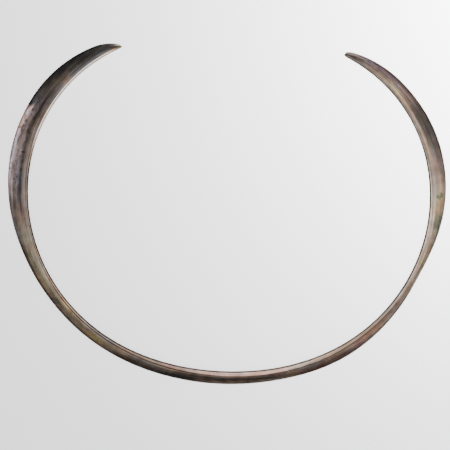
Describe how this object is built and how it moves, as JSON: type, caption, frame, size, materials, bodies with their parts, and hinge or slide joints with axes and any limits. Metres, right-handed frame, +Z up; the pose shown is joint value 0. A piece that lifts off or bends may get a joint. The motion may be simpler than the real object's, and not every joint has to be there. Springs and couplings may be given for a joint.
{
  "type": "torc",
  "caption": "Open neck ring of forged silver, stout at the front and drawn out into broad thin blades beside the opening, with a narrow raised rim along its inner edge.",
  "frame": {"origin": "on the flat underside, below the middle of the ring's outline", "axes": "+Z up out of the face with the rim, -Y towards the front of the ring, +Y towards the opening, +X towards the narrower arm"},
  "size_m": [0.1368, 0.1062, 0.0032],
  "materials": {
    "silver": "old silver, worn and unevenly browned by tarnish"
  },
  "bodies": {
    "root": {"torc": "silver"}
  },
  "joints": []
}
